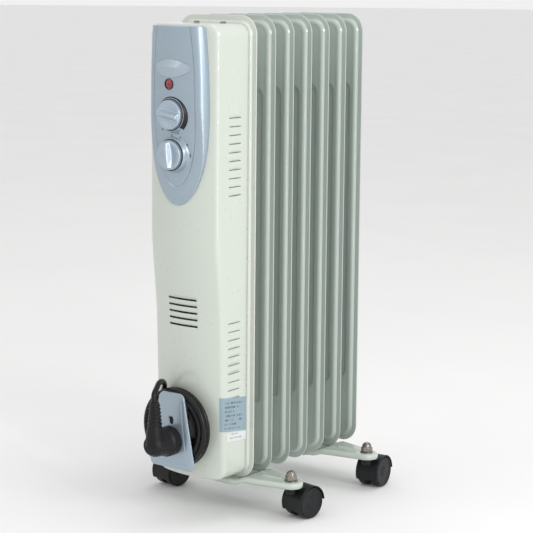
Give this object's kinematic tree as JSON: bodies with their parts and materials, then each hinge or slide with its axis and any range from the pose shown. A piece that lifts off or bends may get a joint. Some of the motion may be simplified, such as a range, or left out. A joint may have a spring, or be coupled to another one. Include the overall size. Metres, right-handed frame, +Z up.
{
  "type": "oil filled radiator heater",
  "caption": "Free-standing oil filled radiator with ribbed metal fins, a front control housing with two dials, a cord winder with a parked plug, and two feet on twin-wheel castors.",
  "frame": {"origin": "middle of the heater's box without its cord, on the floor", "axes": "+Z up, -Y towards the front with the controls, +X to the heater's left as it faces you from the front (the viewer's right)"},
  "size_m": [0.26, 0.3638, 0.6264],
  "materials": {
    "enamel_fin": "smooth semi-gloss grey-green enamel",
    "enamel_housing": "smooth semi-gloss pale cream enamel",
    "silver_plastic": "satin silver-blue metallic paint",
    "badge_plastic": "satin, two facets",
    "black_gloss": "glossy black",
    "lamp_red": "clear red lens",
    "castor_plastic": "fine matt black",
    "cord_rubber": "smooth black",
    "plug_plastic": "matt black",
    "bright_metal": "bright nickel plate",
    "zinc_steel": "zinc plated",
    "brass": "turned",
    "element_steel": "annealed, dull",
    "insulator": "matt ivory",
    "switch_plastic": "matt brown",
    "wire_sleeve": "smooth sleeve",
    "label_film": "matt printed film"
  },
  "bodies": {
    "heater": {"fin_1": "enamel_fin", "fin_2": "enamel_fin", "fin_3": "enamel_fin", "fin_4": "enamel_fin", "fin_5": "enamel_fin", "fin_6": "enamel_fin", "fin_7": "enamel_fin", "header_nipples": "zinc_steel", "header_caps": "enamel_fin", "oil_fill_plug": "zinc_steel", "element_flange": "brass", "heating_elements": "element_steel", "element_terminals": "insulator", "housing_back_plate": "zinc_steel", "control_housing": "enamel_housing", "housing_screws": "bright_metal", "component_bracket": "zinc_steel", "thermostat_body": "switch_plastic", "power_switch_body": "switch_plastic", "indicator_lamp": "lamp_red", "lamp_bezel": "black_gloss", "terminal_block": "insulator", "thermal_cutout": "zinc_steel", "wiring": "wire_sleeve", "control_panel": "silver_plastic", "panel_badge": "badge_plastic", "cord_winder": "silver_plastic", "cord_gland": "plug_plastic", "cord_lead": "cord_rubber", "cord_coil": "cord_rubber", "cord_tail": "cord_rubber", "mains_plug": "plug_plastic", "plug_pins": "bright_metal", "rating_label": "label_film", "front_foot": "enamel_fin", "rear_foot": "enamel_fin", "foot_clamps": "zinc_steel", "clamp_nuts": "zinc_steel", "castor_stems": "zinc_steel", "dome_nuts": "bright_metal"},
    "thermostat_dial": {"thermostat_knob": "silver_plastic", "thermostat_shaft": "zinc_steel"},
    "power_dial": {"power_knob": "silver_plastic", "power_shaft": "zinc_steel"},
    "castor_front_right": {"hood_front_right": "castor_plastic", "axle_front_right": "zinc_steel"},
    "castor_front_left": {"hood_front_left": "castor_plastic", "axle_front_left": "zinc_steel"},
    "castor_rear_right": {"hood_rear_right": "castor_plastic", "axle_rear_right": "zinc_steel"},
    "castor_rear_left": {"hood_rear_left": "castor_plastic", "axle_rear_left": "zinc_steel"},
    "wheel_front_right_a": {"wheel_front_right_a": "castor_plastic"},
    "wheel_front_right_b": {"wheel_front_right_b": "castor_plastic"},
    "wheel_front_left_a": {"wheel_front_left_a": "castor_plastic"},
    "wheel_front_left_b": {"wheel_front_left_b": "castor_plastic"},
    "wheel_rear_right_a": {"wheel_rear_right_a": "castor_plastic"},
    "wheel_rear_right_b": {"wheel_rear_right_b": "castor_plastic"},
    "wheel_rear_left_a": {"wheel_rear_left_a": "castor_plastic"},
    "wheel_rear_left_b": {"wheel_rear_left_b": "castor_plastic"}
  },
  "joints": [
    {"name": "thermostat_turn", "type": "hinge", "parent": "heater", "child": "thermostat_dial", "pos_m": [0, -0.16155, 0.508], "axis": [0, 1, 0], "range_deg": [0, 220]},
    {"name": "power_turn", "type": "hinge", "parent": "heater", "child": "power_dial", "pos_m": [0, -0.16155, 0.4595], "axis": [0, 1, 0], "range_deg": [0, 96]},
    {"name": "swivel_front_right", "type": "hinge", "parent": "heater", "child": "castor_front_right", "pos_m": [0.108, -0.05156, 0.04], "axis": [0, 0, 1], "continuous": true},
    {"name": "spin_front_right_a", "type": "hinge", "parent": "castor_front_right", "child": "wheel_front_right_a", "pos_m": [0.11997, -0.03103, 0.02], "axis": [0.9903, -0.1392, 0], "continuous": true},
    {"name": "spin_front_right_b", "type": "hinge", "parent": "castor_front_right", "child": "wheel_front_right_b", "pos_m": [0.10215, -0.02852, 0.02], "axis": [0.9903, -0.1392, 0], "continuous": true},
    {"name": "swivel_front_left", "type": "hinge", "parent": "heater", "child": "castor_front_left", "pos_m": [-0.108, -0.05156, 0.04], "axis": [0, 0, 1], "continuous": true},
    {"name": "spin_front_left_a", "type": "hinge", "parent": "castor_front_left", "child": "wheel_front_left_a", "pos_m": [-0.09675, -0.03062, 0.02], "axis": [0.9945, -0.1045, 0], "continuous": true},
    {"name": "spin_front_left_b", "type": "hinge", "parent": "castor_front_left", "child": "wheel_front_left_b", "pos_m": [-0.11465, -0.02874, 0.02], "axis": [0.9945, -0.1045, 0], "continuous": true},
    {"name": "swivel_rear_right", "type": "hinge", "parent": "heater", "child": "castor_rear_right", "pos_m": [0.108, 0.11627, 0.04], "axis": [0, 0, 1], "continuous": true},
    {"name": "spin_rear_right_a", "type": "hinge", "parent": "castor_rear_right", "child": "wheel_rear_right_a", "pos_m": [0.11465, 0.13909, 0.02], "axis": [0.9945, 0.1045, 0], "continuous": true},
    {"name": "spin_rear_right_b", "type": "hinge", "parent": "castor_rear_right", "child": "wheel_rear_right_b", "pos_m": [0.09675, 0.13721, 0.02], "axis": [0.9945, 0.1045, 0], "continuous": true},
    {"name": "swivel_rear_left", "type": "hinge", "parent": "heater", "child": "castor_rear_left", "pos_m": [-0.108, 0.11627, 0.04], "axis": [0, 0, 1], "continuous": true},
    {"name": "spin_rear_left_a", "type": "hinge", "parent": "castor_rear_left", "child": "wheel_rear_left_a", "pos_m": [-0.10215, 0.13931, 0.02], "axis": [0.9903, 0.1392, 0], "continuous": true},
    {"name": "spin_rear_left_b", "type": "hinge", "parent": "castor_rear_left", "child": "wheel_rear_left_b", "pos_m": [-0.11997, 0.1368, 0.02], "axis": [0.9903, 0.1392, 0], "continuous": true}
  ]
}
